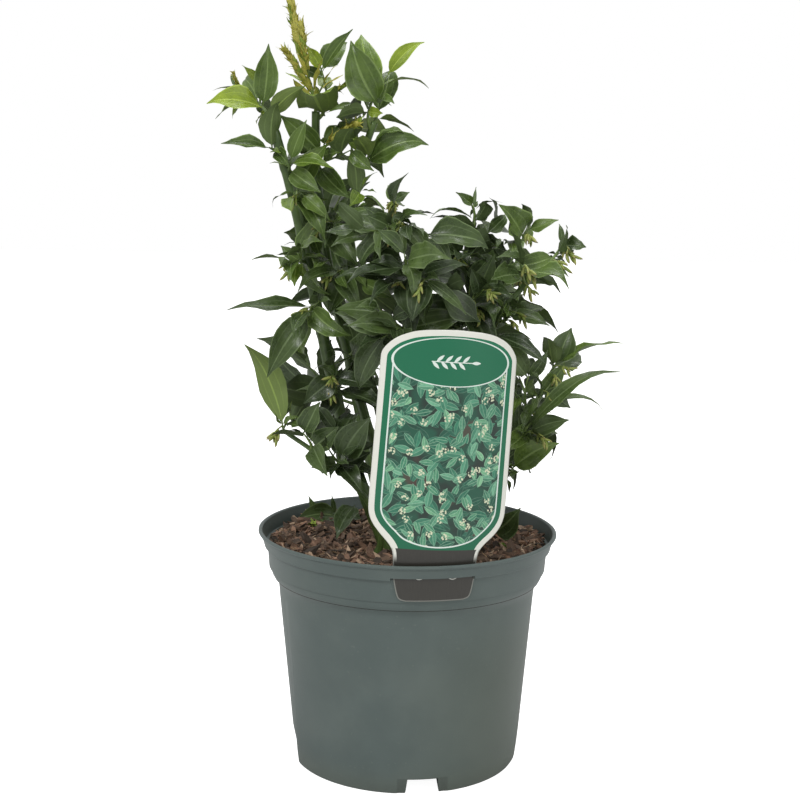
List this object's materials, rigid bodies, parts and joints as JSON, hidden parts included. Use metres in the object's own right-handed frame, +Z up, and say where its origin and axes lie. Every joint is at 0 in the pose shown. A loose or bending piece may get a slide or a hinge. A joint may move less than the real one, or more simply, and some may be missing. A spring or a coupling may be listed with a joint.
{
  "type": "potted fragrant sweet box",
  "caption": "Evergreen sweet box shrub with arching canes of pointed glossy leaves, growing in a round ribbed nursery pot with a plant label in its rim.",
  "frame": {"origin": "middle of the pot's flat underside, on the surface that the pot stands on", "axes": "+Z up through the pot's middle, -Y towards the viewer, +X to the viewer's right"},
  "size_m": [0.253, 0.2166, 0.479],
  "materials": {
    "pot": "moulded satin polypropylene, dark grey-green, a little dusty near the foot",
    "potting_mix": "coarse composted bark chips, dry and matt",
    "label": "printed glossy plastic sheet with a pale edge",
    "cane": "smooth green stem, slightly ridged, satin",
    "foliage": "glossy evergreen leaves, dark above and paler below",
    "young_foliage": "soft yellow-green young shoots and flower buds"
  },
  "bodies": {
    "root": {"pot": "pot", "potting_mix": "potting_mix", "plant_label": "label", "main_cane": "cane", "centre_cane": "cane", "right_cane": "cane", "middle_cane": "cane", "dome_cane": "cane", "dome_rear_cane": "cane", "low_right_cane": "cane", "low_left_cane": "cane", "back_left_cane": "cane", "back_right_cane": "cane", "left_crown": "foliage", "left_upper": "foliage", "left_inner": "foliage", "left_mid": "foliage", "left_waist": "foliage", "left_reach": "foliage", "left_low": "foliage", "low_left_tip": "foliage", "low_left_mid": "foliage", "low_front_left": "foliage", "inner_left_low": "foliage", "young_spike": "young_foliage", "centre_crown": "foliage", "centre_upper": "foliage", "centre_mid": "foliage", "centre_waist": "foliage", "right_crown": "foliage", "right_crown_tip": "foliage", "right_crown_inner": "foliage", "right_upper": "foliage", "right_upper_inner": "foliage", "right_mid": "foliage", "middle_crown": "foliage", "middle_left": "foliage", "middle_right": "foliage", "middle_low": "foliage", "front_left": "foliage", "dome_top": "foliage", "dome_top_left": "foliage", "dome_centre": "foliage", "dome_front": "foliage", "dome_end": "foliage", "dome_upper": "foliage", "dome_side": "foliage", "dome_low": "foliage", "dome_under": "foliage", "low_right_tip": "foliage", "low_right_mid": "foliage", "low_right_inner": "foliage", "low_right_low": "foliage", "low_right_foot": "foliage", "back_left_crown": "foliage", "back_left_low": "foliage", "back_left_mid": "foliage", "back_right_crown": "foliage", "back_right_mid": "foliage", "back_right_low": "foliage"}
  },
  "joints": []
}
